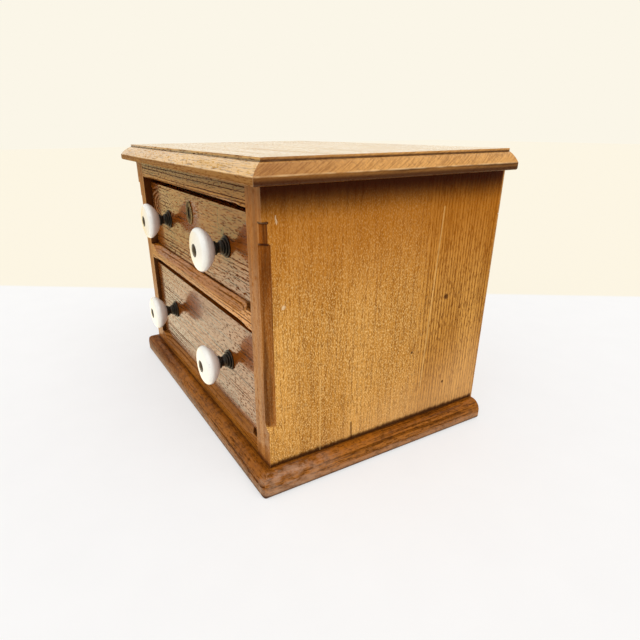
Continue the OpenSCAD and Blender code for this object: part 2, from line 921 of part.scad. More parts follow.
module nut() {
    translate([0, 0, -front_thickness - washer_thickness - nut_thickness]) difference() {
        translate([-nut_side / 2, -nut_side / 2, 0]) cube([nut_side, nut_side, nut_thickness]);
        translate([0, 0, -cut_margin]) cylinder(r = bolt_hole, h = nut_thickness + 2 * cut_margin);
    }
}

module upper_left_knob() {
    color(white) in_frame() at_left_knob(upper_recess, upper_base, upper_height) knob();
}

module upper_right_knob() {
    color(white) in_frame() at_knob(upper_recess, upper_base, upper_height) knob();
}

module upper_left_stem() {
    color(iron) in_frame() at_left_knob(upper_recess, upper_base, upper_height) stem();
}

module upper_right_stem() {
    color(iron) in_frame() at_knob(upper_recess, upper_base, upper_height) stem();
}

module upper_knob_bolts() {
    color(iron) in_frame() left_and_right() at_knob(upper_recess, upper_base, upper_height) knob_bolt();
}

module upper_knob_washers() {
    color(iron) in_frame() left_and_right() at_knob(upper_recess, upper_base, upper_height) washer();
}

module upper_knob_nuts() {
    color(iron) in_frame() left_and_right() at_knob(upper_recess, upper_base, upper_height) nut();
}

module lower_left_knob() {
    color(white) in_frame() at_left_knob(lower_recess, lower_base, lower_height) knob();
}

module lower_right_knob() {
    color(white) in_frame() at_knob(lower_recess, lower_base, lower_height) knob();
}

module lower_left_stem() {
    color(iron) in_frame() at_left_knob(lower_recess, lower_base, lower_height) stem();
}

module lower_right_stem() {
    color(iron) in_frame() at_knob(lower_recess, lower_base, lower_height) stem();
}

module lower_knob_bolts() {
    color(iron) in_frame() left_and_right() at_knob(lower_recess, lower_base, lower_height) knob_bolt();
}

module lower_knob_washers() {
    color(iron) in_frame() left_and_right() at_knob(lower_recess, lower_base, lower_height) washer();
}

module lower_knob_nuts() {
    color(iron) in_frame() left_and_right() at_knob(lower_recess, lower_base, lower_height) nut();
}

// Lock

// Oval outline made of two side arcs with rounded ends
module escutcheon_outline() {
    half = escutcheon_width / 2;
    tall = escutcheon_height / 2;
    pointed = tall + escutcheon_tip;
    arc = (pow(pointed, 2) + pow(half, 2)) / (2 * half);
    intersection() {
        translate([arc - half, 0]) circle(r = arc);
        translate([half - arc, 0]) circle(r = arc);
        circle(r = tall);
    }
}

// Keyhole outline, with its round part at the origin
module keyhole_outline() {
    circle(r = keyhole_radius);
    translate([-keyhole_slot / 2, -keyhole_drop]) square([keyhole_slot, keyhole_drop]);
}

// Places a flat outline upright at the lock, with its thickness running forwards from a given depth
module at_keyhole(y) {
    translate([lock_x, y, keyhole_z]) rotate([90, 0, 0]) children();
}

module keyhole_cut() {
    at_keyhole(lock_back) linear_extrude(front_thickness + cut_margin) keyhole_outline();
}

module keyhole_escutcheon() {
    color(brass) in_frame() at_keyhole(upper_recess) linear_extrude(escutcheon_thickness) difference() {
        translate([0, (keyhole_radius - keyhole_drop) / 2]) escutcheon_outline();
        keyhole_outline();
    }
}

// Room for the lock's case and plate in the back of the drawer front
module lock_seat() {
    lock_body();
    lock_plate_body();
}

module lock_body() {
    block([lock_x - lock_width / 2, lock_back - lock_plate_thickness - lock_depth, lock_top - lock_height],
          [lock_x + lock_width / 2, lock_back - lock_plate_thickness, lock_top - lock_plate_thickness]);
}

// Plate on the drawer front's inside, with a lip over the lock's upper end
module lock_plate_body() {
    half = plate_width / 2;
    block([lock_x - half, lock_back - lock_plate_thickness, lock_top - lock_height],
          [lock_x + half, lock_back, lock_top]);
    block([lock_x - half, lock_back - lock_plate_thickness - lock_depth, lock_top - lock_plate_thickness],
          [lock_x + half, lock_back, lock_top]);
}

// Upright block of the lock bolt's section, grown by a gap all round, between two heights
module bolt_block(gap, low, high) {
    half = lock_bolt_width / 2 + gap;
    deep = lock_bolt_thickness / 2 + gap;
    block([lock_x - half, bolt_y - deep, low], [lock_x + half, bolt_y + deep, high]);
}

// Room for the bolt and, under it, for the turning key
module bolt_room() {
    bolt_block(lock_gap, lock_top - lock_height + lock_wall, lock_top + cut_margin);
}

module lock_case() {
    color(brass) in_frame() difference() {
        lock_body();
        bolt_room();
        keyhole_cut();
    }
}

module lock_plate() {
    color(brass) in_frame() difference() {
        lock_plate_body();
        bolt_room();
        lock_brad_set(fastener_gap);
    }
}

// Brads through the plate's four corners into the drawer front
module lock_brad_set(gap) {
    across = lock_width / 2 + lock_plate_margin / 2;
    for (side = [-1, 1])
        for (drop = [lock_plate_margin / 2, lock_height - lock_plate_margin / 2])
            translate([lock_x + side * across, lock_back, lock_top - drop])
                rotate([90, 0, 0]) brad(lock_plate_thickness + brad_grip, gap);
}

module lock_brads() {
    color(brass) in_frame() lock_brad_set(0);
}

module lock_bolt() {
    color(brass) in_frame() bolt_block(0, lock_top - lock_bolt_length, lock_top);
}

// Mortise in the top rail for the raised bolt
module strike_mortise() {
    bolt_block(strike_room, upper_ceiling - cut_margin, lock_top + lock_throw + strike_room);
}

top_board();
left_side();
right_side();
top_rail();
middle_rail();
bottom_rail();
bottom_board();
back_rail();
left_runner();
right_runner();
left_kicker();
right_kicker();
upper_drawer_stops();
lower_drawer_stops();
back_board_1();
back_board_2();
back_board_3();
back_board_4();
back_board_5();
back_nails();
top_screws();
plinth_front();
plinth_left();
plinth_right();
upper_drawer_front();
upper_drawer_left();
upper_drawer_right();
upper_drawer_back();
upper_drawer_bottom();
upper_bottom_brads();
upper_left_knob();
upper_right_knob();
upper_left_stem();
upper_right_stem();
upper_knob_bolts();
upper_knob_washers();
upper_knob_nuts();
keyhole_escutcheon();
lock_case();
lock_plate();
lock_brads();
lock_bolt();
lower_drawer_front();
lower_drawer_left();
lower_drawer_right();
lower_drawer_back();
lower_drawer_bottom();
lower_bottom_brads();
lower_left_knob();
lower_right_knob();
lower_left_stem();
lower_right_stem();
lower_knob_bolts();
lower_knob_washers();
lower_knob_nuts();
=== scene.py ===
"""Looks of the two-drawer table chest: varnished oak, porcelain knobs on iron stems and aged brass."""

from math import cos, pi, radians, sin

import bpy
from mathutils import Matrix, Vector

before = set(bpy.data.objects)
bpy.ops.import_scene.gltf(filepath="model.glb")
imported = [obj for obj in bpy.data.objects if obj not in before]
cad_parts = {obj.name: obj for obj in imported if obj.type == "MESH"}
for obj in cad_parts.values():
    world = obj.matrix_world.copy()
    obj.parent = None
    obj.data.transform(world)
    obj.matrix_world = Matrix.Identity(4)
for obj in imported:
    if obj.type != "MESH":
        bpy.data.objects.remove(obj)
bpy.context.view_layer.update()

# Objects and the camera are placed in metres. Textures work in mm, with Y from the case's front face.
MM = 0.001
TO_MM = 1000.0

# The case's front face, from which the photo's camera was measured
CASE_FRONT = -0.0982

# Camera, fitted to the photo. Angles are degrees, lens and sensor mm.
CAMERA_PLACE = Vector((0.4291, CASE_FRONT - 0.1321, 0.2529))
CAMERA_AZIMUTH = 59.91
CAMERA_ELEVATION = 23.97
CAMERA_ROLL = -0.40
CAMERA_LENS = 27.86
CAMERA_SENSOR = 36.0
CAMERA_SHIFT = (0.0281, 0.0434)
CAMERA_NEAREST = 0.01

# The middle of the keyhole, across and up from the floor in mm
KEYHOLE = (-8.0, 185.0)

# Heights in mm of the edge between the top's fascia and its slope, and of the step over the slope
TOP_ARRIS = 227.9
TOP_STEP = 235.3

# Ways that faces look
UP = (0.0, 0.0, 1.0)
FRONT = (0.0, -1.0, 0.0)
RIGHT = (1.0, 0.0, 0.0)
LEFT = (-1.0, 0.0, 0.0)
TOP_SLOPE = (0.0, -0.635, 0.772)
DIAGONAL = 0.707

# Heights in mm between which a tone, a painted shadow or the varnish of the sides and rails fades in
SIDE_DEEPENS = (110.0, 215.0)
SIDE_OVERHANG_SHADOW = (198.0, 221.0)
SIDE_FOOT_GRIME_AND_SHADE = (25.0, 21.5)
RAIL_OVERHANG_SHADOW = (198.0, 220.0)
RAIL_DARKER_LOW = (40.0, 30.0)
RAIL_VARNISHED = (30.0, 110.0)

# Rounding of edges: points this close in mm are joined, and edges sharper than the angle are rounded
JOIN_REACH = 0.01
SHARP_ANGLE = 35.0
ROUND_SEGMENTS = 3
FLAT_FACE_WEIGHT = 100

# Table top: half its width, its drop under the chest, and the share of plain white that the camera sees
FLOOR_REACH = 8.0
FLOOR_DROP = 0.2 * MM
FLOOR_WHITE = 0.6

# Strength of the table in reflections, where 1 is white, at a near and a far distance in mm
NEAR = 250.0
FAR = 800.0
MIRRORED_NEAR = 1.8
MIRRORED_FAR = 1.5

# The wall behind the table: the way to it from the chest, its distance in mm and half the width of the join
WALL_WAY = (-0.822, 0.569)
WALL_DISTANCE = 377.0
WALL_JOIN = 6.0

# Strength of the surround as light, and as the camera and reflections see it
WORLD_LIGHT = 0.7
WORLD_SEEN = 1.0


def tint(red, green, blue):
    """Linear colour of an 8-bit screen colour."""
    def linear(value):
        share = value / 255
        return share / 12.92 if share <= 0.04045 else ((share + 0.055) / 1.055) ** 2.4
    return (linear(red), linear(green), linear(blue), 1.0)


# Tones of the woods as (light, middle, dark)
FRONT_TONES = (tint(146, 78, 11), tint(118, 57, 6), tint(43, 17, 1))
SIDE_TONES = (tint(208, 149, 69), tint(180, 121, 44), tint(108, 56, 9))
TOP_TONES = (tint(206, 150, 78), tint(184, 126, 54), tint(84, 44, 12))
RAIL_TONES = (tint(206, 130, 40), tint(172, 100, 22), tint(58, 24, 4))
PLINTH_TONES = (tint(162, 96, 24), tint(124, 67, 11), tint(50, 21, 4))
INNER_TONES = (tint(198, 156, 100), tint(178, 132, 76), tint(128, 84, 42))
BACK_TONES = (tint(196, 140, 70), tint(172, 116, 48), tint(118, 70, 24))
DRAWER_TONES = (tint(206, 166, 112), tint(190, 146, 90), tint(140, 96, 52))

# Tones of wear and dirt, and of painted shade
# A dark tone for knots, cracks and nicks, and for painted shade and shadow
DARK_MARK_AND_SHADE = tint(52, 12, 1)
# Grime and painted shade in corners
CORNER_GRIME_AND_SHADE = tint(48, 18, 5)
# Painted shade in the corners of the softwood
DEAL_CORNER_SHADE = tint(60, 40, 22)
RUBBED = tint(206, 166, 124)
WORN = tint(176, 140, 112)
FLECK = tint(246, 202, 130)
BARE_WOOD = tint(232, 214, 180)


class Surface:
    """A node material with short calls for the nodes that the materials below use."""

    def __init__(self, name):
        self.material = bpy.data.materials.new(name)
        self.material.use_nodes = True
        self.tree = self.material.node_tree
        self.shader = self.tree.nodes["Principled BSDF"]
        place = self.node("ShaderNodeTexCoord").outputs["Object"]
        from_front = self.vector("SUBTRACT", place, (0.0, CASE_FRONT, 0.0))
        self.place = self.vector("SCALE", from_front, scale=TO_MM)
        self.x, self.y, self.z = self.axes(self.place)

    def node(self, kind, inputs=None, **settings):
        made = self.tree.nodes.new(kind)
        for key, value in settings.items():
            setattr(made, key, value)
        for key, value in (inputs or {}).items():
            self.plug(made.inputs[key], value)
        return made

    def plug(self, socket, value):
        if isinstance(value, bpy.types.NodeSocket):
            self.tree.links.new(value, socket)
        else:
            socket.default_value = value

    def set(self, **values):
        """Sets the main shader's inputs, with _ for each space in their names."""
        for key, value in values.items():
            self.plug(self.shader.inputs[key.replace("_", " ")], value)

    def math(self, operation, first, second=0.0, clamp=False):
        made = self.node("ShaderNodeMath", {0: first, 1: second}, operation=operation, use_clamp=clamp)
        return made.outputs[0]

    def vector(self, operation, first, second=None, scale=None):
        inputs = {0: first}
        if second is not None:
            inputs[1] = second
        if scale is not None:
            inputs["Scale"] = scale
        made = self.node("ShaderNodeVectorMath", inputs, operation=operation)
        return made.outputs["Value" if operation in ("LENGTH", "DISTANCE", "DOT_PRODUCT") else "Vector"]

    def axes(self, vector):
        made = self.node("ShaderNodeSeparateXYZ", {0: vector})
        return made.outputs[0], made.outputs[1], made.outputs[2]

    def join(self, x, y, z):
        return self.node("ShaderNodeCombineXYZ", {0: x, 1: y, 2: z}).outputs[0]

    def noise(self, vector, periods, detail=2.0, roughness=0.5):
        """Noise from 0 to 1 whose features are about as long as the given periods."""
        scaled = self.vector("MULTIPLY", vector, tuple(1 / period for period in periods))
        inputs = {"Vector": scaled, "Scale": 1.0, "Detail": detail, "Roughness": roughness}
        return self.node("ShaderNodeTexNoise", inputs).outputs["Fac"]

    def even_noise(self, period, detail=2.0):
        """Noise over the place whose features are as long in every direction."""
        return self.noise(self.place, (period, period, period), detail=detail)

    def ramp(self, value, low, high):
        """0 at low and 1 at high, with a soft step between. Low may be above high."""
        inputs = {"Value": value, "From Min": low, "From Max": high}
        made = self.node("ShaderNodeMapRange", inputs, interpolation_type="SMOOTHSTEP")
        return made.outputs[0]

    def mix(self, factor, first, second):
        made = self.node("ShaderNodeMix", data_type="RGBA")
        self.plug(made.inputs[0], factor)
        self.plug(made.inputs[6], first)
        self.plug(made.inputs[7], second)
        return made.outputs[2]

    def paint(self, colour, mask, strength, tone):
        """The colour with a tone laid over it where the mask is 1."""
        return self.mix(self.times(mask, strength), colour, tone)

    def times(self, *values):
        product = values[0]
        for value in values[1:]:
            product = self.math("MULTIPLY", product, value)
        return product

    def total(self, *values):
        result = values[0]
        for value in values[1:]:
            result = self.math("ADD", result, value)
        return result

    def above(self, height):
        """How far a place lies above a height, in mm."""
        return self.total(self.z, -height)

    def crevice(self, reach):
        """1 deep in corners, 0 in the open. Reach is in mm."""
        made = self.node("ShaderNodeAmbientOcclusion", {"Distance": reach * MM}, samples=8)
        return self.ramp(made.outputs["AO"], 0.85, 0.3)

    def edge(self, reach):
        """1 on sharp edges, 0 on flat faces. Reach is in mm."""
        round_normal = self.node("ShaderNodeBevel", {"Radius": reach * MM}, samples=6).outputs[0]
        face_normal = self.node("ShaderNodeNewGeometry").outputs["True Normal"]
        return self.ramp(self.vector("DOT_PRODUCT", round_normal, face_normal), 0.995, 0.86)

    def facing(self, direction, low=0.87, high=0.97):
        """1 on faces that look in a direction, 0 on others. It fades between two cosines, low and high."""
        face_normal = self.node("ShaderNodeNewGeometry").outputs["True Normal"]
        return self.ramp(self.vector("DOT_PRODUCT", face_normal, direction), low, high)

    def spot(self, first, second, centre, radius):
        """1 in a small round mark in the plane of two axes, 0 away from it."""
        off = self.join(self.total(first, -centre[0]), self.total(second, -centre[1]), 0.0)
        return self.ramp(self.vector("LENGTH", off), radius, 0.4 * radius)

    def stroke(self, first, second, start, end, width):
        """1 along a thin straight mark in the plane of two axes, 0 away from it."""
        run = (end[0] - start[0], end[1] - start[1], 0.0)
        square = run[0] ** 2 + run[1] ** 2
        off = self.join(self.total(first, -start[0]), self.total(second, -start[1]), 0.0)
        share = self.math("DIVIDE", self.vector("DOT_PRODUCT", off, run), square, clamp=True)
        nearest = self.vector("SCALE", run, scale=share)
        return self.ramp(self.vector("DISTANCE", off, nearest), 0.5 * width, 0.2 * width)

    def bump(self, height, depth, filled=0.0):
        """Raises the surface by a depth in mm. Filled is the share of it that the varnish evens out."""
        inputs = {"Height": height, "Distance": depth * MM}
        self.set(Normal=self.node("ShaderNodeBump", inputs).outputs[0])
        inputs["Distance"] = depth * (1 - filled) * MM
        self.set(Coat_Normal=self.node("ShaderNodeBump", inputs).outputs[0])


# Wood in general

def grain_space(surface, order):
    """The place in mm as (along the grain, across the face, through the board)."""
    by_name = {"x": surface.x, "y": surface.y, "z": surface.z}
    return surface.join(*(by_name[axis] for axis in order))


def growth(surface, space, pitch, pith, slope=0.0, wobble=3.0, even=0.0):
    """Growth rings around the tree's middle, which runs beside the board at pith (across, through) in mm.

    With a slope it runs at an angle to the board, and the rings come out as pointed arches. Even is the
    share of rings of equal width.
    """
    along, across, through = surface.axes(space)
    bend = surface.times(surface.noise(space, (120, 45, 45), detail=2), wobble)
    sideways = surface.total(across, bend, -pith[0])
    deep = surface.total(through, surface.times(along, slope), -pith[1])
    ring = surface.vector("LENGTH", surface.join(sideways, deep, 0.0))
    lines = surface.join(surface.times(along, pitch / 260), ring, 0.0)
    uneven_rings = surface.noise(lines, (pitch, pitch, pitch), detail=2, roughness=0.6)
    drift = surface.times(surface.noise(lines, (9 * pitch, 9 * pitch, 9 * pitch)), 3 * pi)
    turns = surface.total(surface.times(ring, pi / pitch), drift)
    even_rings = surface.total(surface.times(surface.math("SINE", turns), 0.25), 0.5)
    return surface.total(surface.times(uneven_rings, 1 - even), surface.times(even_rings, even))


def streaks(surface, order):
    """Broad light and dark streaks along the grain, from 0 to 1."""
    return surface.ramp(surface.noise(grain_space(surface, order), (80, 5, 5), detail=3), 0.35, 0.65)


def oak_pores(surface, space, rings, banded):
    """The porous rings, and the dashes of open pores that crowd in them, each from 0 to 1."""
    porous = surface.times(surface.ramp(growth(surface, space, **rings), 0.55, 0.63), banded)
    dashes = surface.noise(space, (5, 0.8, 0.8), detail=1)
    pore = surface.ramp(surface.total(dashes, surface.times(porous, 0.08)), 0.56, 0.66)
    return porous, pore


def rubbed_and_shaded(surface, colour, space, wear):
    """Rubbed edges, and grime and painted shade in the corners."""
    patches = surface.ramp(surface.noise(space, (16, 8, 8)), 0.40, 0.62)
    colour = surface.paint(colour, surface.times(surface.edge(1.4), patches), wear, RUBBED)
    # Grime and painted shade where the corners are deep
    return surface.paint(colour, surface.crevice(6), 0.85, CORNER_GRIME_AND_SHADE)


def oak(name, order, tones, rings, gloss, lines=0.7, fibres=0.6, pores=0.6, flecks=0.0, wear=0.3,
        relief=0.16, bands=None, marks=None, varnish=None):
    """Oak with open pores in its growth rings.

    Tones are (light, middle, dark). Gloss is 0 for dry wood and 1 for full varnish. Lines, fibres, pores,
    flecks and wear are the strengths of those features, relief the depth of the grain in mm. Bands gives
    where the lines stand out, marks adds the stains and scars of one piece with its painted light and shade,
    and varnish gives where the gloss is left.
    """
    light, middle, dark = tones
    surface = Surface(name)
    space = grain_space(surface, order)
    banded = bands(surface) if bands else 1.0
    porous, pore = oak_pores(surface, space, rings, banded)
    clouds = surface.noise(space, (130, 34, 34), detail=2)
    fibre = surface.noise(space, (60, 2.6, 2.6), detail=3, roughness=0.75)
    fleck = surface.ramp(surface.noise(space, (1.6, 0.6, 0.6), detail=1), 0.52, 0.64)

    colour = surface.mix(surface.ramp(clouds, 0.30, 0.70), light, middle)
    colour = surface.paint(colour, surface.ramp(fibre, 0.48, 0.36), fibres, light)
    colour = surface.paint(colour, surface.ramp(fibre, 0.52, 0.64), fibres, dark)
    colour = surface.paint(colour, porous, lines, dark)
    open_grain = surface.total(0.4, surface.times(banded, 0.6))
    colour = surface.paint(colour, surface.times(pore, open_grain), pores, dark)
    between_bands = surface.math("SUBTRACT", 1.1, banded)
    colour = surface.paint(colour, surface.times(fleck, between_bands), flecks, FLECK)
    if marks:
        colour = marks(surface, colour)
    colour = rubbed_and_shaded(surface, colour, space, wear)
    rough = surface.total(0.4, surface.times(pore, 0.15), surface.times(clouds, 0.08))
    surface.set(Base_Color=colour, Roughness=rough, Specular_IOR_Level=0.02)

    coat = surface.ramp(surface.math("MAXIMUM", porous, pore), 0.85, 0.0)
    if varnish:
        coat = surface.times(coat, varnish(surface))
    surface.set(Coat_Weight=surface.times(coat, gloss), Coat_Roughness=0.12, Coat_IOR=1.75)
    height = surface.total(surface.times(porous, -0.35), surface.times(pore, -0.65),
                           surface.times(surface.even_noise(16), 0.6))
    surface.bump(height, relief, filled=0.5)
    return surface.material


def deal(name, order, tones):
    """Plain softwood of the inside and the back."""
    light, middle, dark = tones
    surface = Surface(name)
    space = grain_space(surface, order)
    lines = growth(surface, space, pitch=4.5, pith=(-260.0, 90.0), slope=0.05)
    clouds = surface.even_noise(60, detail=3)
    fibres = surface.noise(space, (30, 0.7, 0.7), detail=2)
    colour = surface.mix(surface.ramp(clouds, 0.3, 0.7), light, middle)
    colour = surface.paint(colour, surface.ramp(lines, 0.46, 0.64), 0.5, dark)
    colour = surface.paint(colour, surface.ramp(fibres, 0.5, 0.8), 0.3, dark)
    # Painted shade in the corners
    colour = surface.paint(colour, surface.crevice(8), 0.7, DEAL_CORNER_SHADE)
    rough = surface.total(0.62, surface.times(clouds, 0.15))
    surface.set(Base_Color=colour, Roughness=rough, Specular_IOR_Level=0.25)
    surface.bump(surface.total(surface.times(lines, 0.5), surface.times(fibres, 0.5)), 0.15)
    return surface.material


# Sides

def side_bands(surface):
    """The side boards' lines stand out towards the back, where the rings stand upright."""
    drift = surface.times(surface.noise(surface.place, (40, 40, 120)), 30.0)
    towards_back = surface.ramp(surface.total(surface.y, drift), 140.0, 166.0)
    return surface.total(0.35, surface.times(towards_back, 0.65))


def side_face(surface, colour):
    """Paler low down at the back and deeper towards the top, with a painted shadow under the top's overhang
    and grime and painted shade just over the plinth.
    """
    uneven = surface.total(surface.z, surface.times(surface.noise(surface.place, (4, 4, 60), detail=3), 4.0))
    pale = surface.total(surface.times(surface.y, 0.4), surface.times(surface.z, -1.0))
    colour = surface.paint(colour, surface.ramp(pale, -30.0, 50.0), 0.4, tint(232, 180, 118))
    colour = surface.paint(colour, surface.ramp(uneven, *SIDE_DEEPENS), 0.7, tint(164, 92, 2))
    # Painted shadow of the top's overhang, darkest just under it
    colour = surface.paint(colour, surface.ramp(uneven, *SIDE_OVERHANG_SHADOW), 0.98, DARK_MARK_AND_SHADE)
    # Grime and painted shade in the corner just over the plinth
    return surface.paint(colour, surface.ramp(uneven, *SIDE_FOOT_GRIME_AND_SHADE), 0.9, DARK_MARK_AND_SHADE)


def side_patina_and_shade(surface, colour, outwards):
    """The weathered face and dark front edge, with painted shade on the inner face. Outwards is 1 at the
    right, -1 at the left.
    """
    colour = side_face(surface, colour)
    streak = streaks(surface, "zyx")
    front_edge = surface.facing(FRONT)
    colour = surface.paint(colour, front_edge, 0.65, tint(168, 102, 48))
    colour = surface.paint(colour, surface.times(front_edge, streak), 0.5, tint(96, 44, 10))
    chamfer = surface.facing((DIAGONAL * outwards, -DIAGONAL, 0.0))
    colour = surface.paint(colour, chamfer, 0.7, tint(128, 60, 8))
    colour = surface.paint(colour, surface.times(chamfer, streak), 0.8, tint(56, 20, 3))
    # Painted shade on the inner face, in the recess beside the drawers
    return surface.paint(colour, surface.facing((-outwards, 0.0, 0.0)), 0.9, tint(64, 24, 6))


def side_scars(surface, colour):
    """Pale streaks, a crack, two nicks, knots, a chip and a scratch, placed as (y, z) in mm."""
    x, y, z = surface.x, surface.y, surface.z
    pale_streaks = [((153.0, 198.0), (146.0, 48.0), 1.8), ((44.0, 81.0), (44.0, 18.0), 1.6)]
    for start, end, width in pale_streaks:
        colour = surface.paint(colour, surface.stroke(y, z, start, end, width), 0.3, FLECK)
    crack = surface.stroke(y, z, (73.6, 34.5), (74.2, 19.0), 1.6)
    colour = surface.paint(colour, crack, 0.9, DARK_MARK_AND_SHADE)
    outer_face = surface.ramp(x, 146.0, 148.0)
    for height in (186.2, 199.7):
        nick = surface.stroke(y, z, (0.5, height), (4.2, height), 2.4)
        colour = surface.paint(colour, surface.times(nick, outer_face), 0.9, DARK_MARK_AND_SHADE)
    knots = [((165.1, 125.5), 3.2), ((133.1, 82.3), 1.6), ((172.5, 44.9), 1.8)]
    for centre, radius in knots:
        colour = surface.paint(colour, surface.spot(y, z, centre, radius), 0.85, DARK_MARK_AND_SHADE)
    ragged = surface.times(surface.even_noise(1.6), 3.0)
    chip = surface.spot(surface.total(y, ragged), surface.total(z, ragged), (15.6, 144.6), 2.0)
    scratch = surface.stroke(surface.total(y, ragged), z, (11.4, 203.5), (12.2, 198.5), 1.2)
    return surface.paint(colour, surface.math("MAXIMUM", chip, scratch), 0.45, BARE_WOOD)


def right_side_marks(surface, colour):
    return side_scars(surface, side_patina_and_shade(surface, colour, 1.0))


def left_side_marks(surface, colour):
    return side_patina_and_shade(surface, colour, -1.0)


def side_varnish(surface):
    """The sides are nearly dry; only their front edges have kept the varnish of the front."""
    return surface.total(0.05, surface.times(surface.facing(FRONT), 0.3))


def side_oak(name, marks):
    rings = {"pitch": 1.5, "pith": (-420.0, 0.0), "wobble": 2.5, "even": 0.6}
    return oak(name, "zyx", SIDE_TONES, rings, gloss=0.9, lines=0.6, fibres=0.35, pores=0.8,
               flecks=0.9, wear=0.2, bands=side_bands, marks=marks, varnish=side_varnish)


# Rails

def rail_marks(surface, colour):
    """Chamfers keep the old dark colour; the top rail gets a painted shadow of the top, and the lowest rail
    is darker.
    """
    chamfer = surface.facing((0.0, -DIAGONAL, DIAGONAL))
    colour = surface.paint(colour, chamfer, 0.4, tint(156, 92, 14))
    # Darker low down, on the lowest rail
    colour = surface.paint(colour, surface.ramp(surface.z, *RAIL_DARKER_LOW), 0.3, DARK_MARK_AND_SHADE)
    # Painted shadow of the top on the top rail
    return surface.paint(colour, surface.ramp(surface.z, *RAIL_OVERHANG_SHADOW), 0.75, DARK_MARK_AND_SHADE)


def rail_varnish(surface):
    """The lowest rail has lost most of its varnish."""
    return surface.total(0.35, surface.times(surface.ramp(surface.z, *RAIL_VARNISHED), 0.65))


def rail_oak():
    rings = {"pitch": 1.2, "pith": (-320.0, 40.0), "even": 0.4}
    return oak("oak_rail", "xzy", RAIL_TONES, rings, gloss=0.65, lines=0.8, pores=0.6,
               marks=rail_marks, varnish=rail_varnish)


# Drawer fronts

def patchy_bands(surface):
    """The lower drawer's lines come and go in long patches."""
    patches = surface.noise(grain_space(surface, "xzy"), (150, 13, 13), detail=3)
    return surface.total(0.4, surface.times(surface.ramp(patches, 0.36, 0.60), 0.6))


def straight_front_oak():
    rings = {"pitch": 1.4, "pith": (-300.0, 30.0), "even": 0.25}
    return oak("oak_straight", "xzy", FRONT_TONES, rings, gloss=1.0, lines=0.8, pores=0.7,
               bands=patchy_bands)


def flame_bands(surface):
    """The upper drawer's lines show in the arches at the left and below on the right."""
    at_left = surface.ramp(surface.x, -55.0, -85.0)
    below = surface.ramp(surface.total(surface.z, surface.times(surface.x, -0.12)), 168.0, 156.0)
    return surface.total(0.15, surface.times(surface.math("MAXIMUM", at_left, below), 0.75))


def arches(surface, colour):
    """Nested arches in the figure at the left of the upper drawer, 3.2 mm apart."""
    across = surface.times(surface.total(surface.x, 98.0), 0.42)
    off = surface.join(across, surface.above(180.0), 0.0)
    wander = surface.times(surface.even_noise(24), 8.0)
    radius = surface.total(surface.vector("LENGTH", off), wander)
    wave = surface.math("SINE", surface.times(radius, 2 * pi / 3.2))
    within = surface.times(surface.ramp(radius, 5.0, 9.0), surface.ramp(radius, 24.0, 17.0))
    dark_rings = surface.times(within, surface.ramp(wave, 0.1, 0.9))
    pale_rings = surface.times(within, surface.ramp(wave, -0.1, -0.9))
    colour = surface.paint(colour, dark_rings, 0.5, FRONT_TONES[2])
    return surface.paint(colour, pale_rings, 0.4, RUBBED)


def flame_marks(surface, colour):
    """The arches, an old crack in the upper drawer's front, and the knot that it runs into."""
    colour = arches(surface, colour)
    wander = surface.times(surface.even_noise(7), 4.0)
    across = surface.total(surface.x, wander)
    crack = surface.stroke(across, surface.z, (63.0, 202.0), (61.0, 180.0), 1.6)
    knot = surface.spot(across, surface.total(surface.z, wander), (70.0, 182.0), 5.0)
    return surface.paint(colour, surface.math("MAXIMUM", crack, knot), 0.75, FRONT_TONES[2])


def flame_front_oak():
    rings = {"pitch": 1.6, "pith": (-300.0, 30.0), "wobble": 5.0, "even": 0.4}
    return oak("oak_flame", "xzy", FRONT_TONES, rings, gloss=1.0, lines=0.7, pores=0.4,
               bands=flame_bands, marks=flame_marks)


# Top

def top_ends(surface):
    """1 on the moulded ends of the top, 0 on its front and upper face."""
    return surface.total(surface.facing(RIGHT, 0.4, 0.55), surface.facing(LEFT, 0.4, 0.55))


def top_fascia(surface):
    """1 on the upright fascia under the arris, 0 above it."""
    return surface.ramp(surface.above(TOP_ARRIS), 0.5, -0.3)


def top_bands(surface):
    """The top's lines show on its upper face, less on the front moulding and least on the ends."""
    front = surface.total(0.45, surface.times(top_ends(surface), -0.25))
    return surface.math("MAXIMUM", front, surface.facing(UP))


def top_varnish(surface):
    """The varnish is worn off the ends and the fascia."""
    bare = surface.math("MAXIMUM", top_ends(surface), top_fascia(surface))
    return surface.math("SUBTRACT", 1.0, surface.times(bare, 0.8))


def faces_with_painted_reflection(surface, colour):
    """The upper face and the front slope, paled by a painted reflection of the bright surround. The slope
    shows dashes of open grain.
    """
    # Painted reflection of the bright surround on the upper face
    colour = surface.paint(colour, surface.facing(UP), 0.6, tint(250, 222, 172))
    slope = surface.facing(TOP_SLOPE)
    # Painted reflection on the front slope
    colour = surface.paint(colour, slope, 0.5, tint(244, 196, 118))
    dashes = surface.ramp(surface.noise(grain_space(surface, "xyz"), (16, 0.9, 0.9), detail=2), 0.54, 0.64)
    colour = surface.paint(colour, surface.times(slope, dashes), 0.6, TOP_TONES[2])
    flame = surface.ramp(surface.noise(surface.place, (110, 30, 30), detail=3), 0.45, 0.65)
    return surface.paint(colour, flame, 0.3, TOP_TONES[1])


def end_grain(surface, colour):
    """Slanting grain on the moulded ends, which darken towards the front corners."""
    ends = top_ends(surface)
    colour = surface.paint(colour, ends, 0.5, tint(224, 166, 98))
    across = surface.total(surface.y, surface.times(surface.z, -2.4))
    slanting = surface.join(across, surface.times(surface.y, 0.05), surface.x)
    lines = surface.ramp(surface.noise(slanting, (1.5, 1.5, 8.0), detail=3), 0.46, 0.62)
    colour = surface.paint(colour, surface.times(ends, lines), 0.4, tint(110, 58, 14))
    corner = surface.times(ends, surface.ramp(surface.y, 75.0, 0.0))
    return surface.paint(colour, corner, 0.5, tint(104, 46, 18))


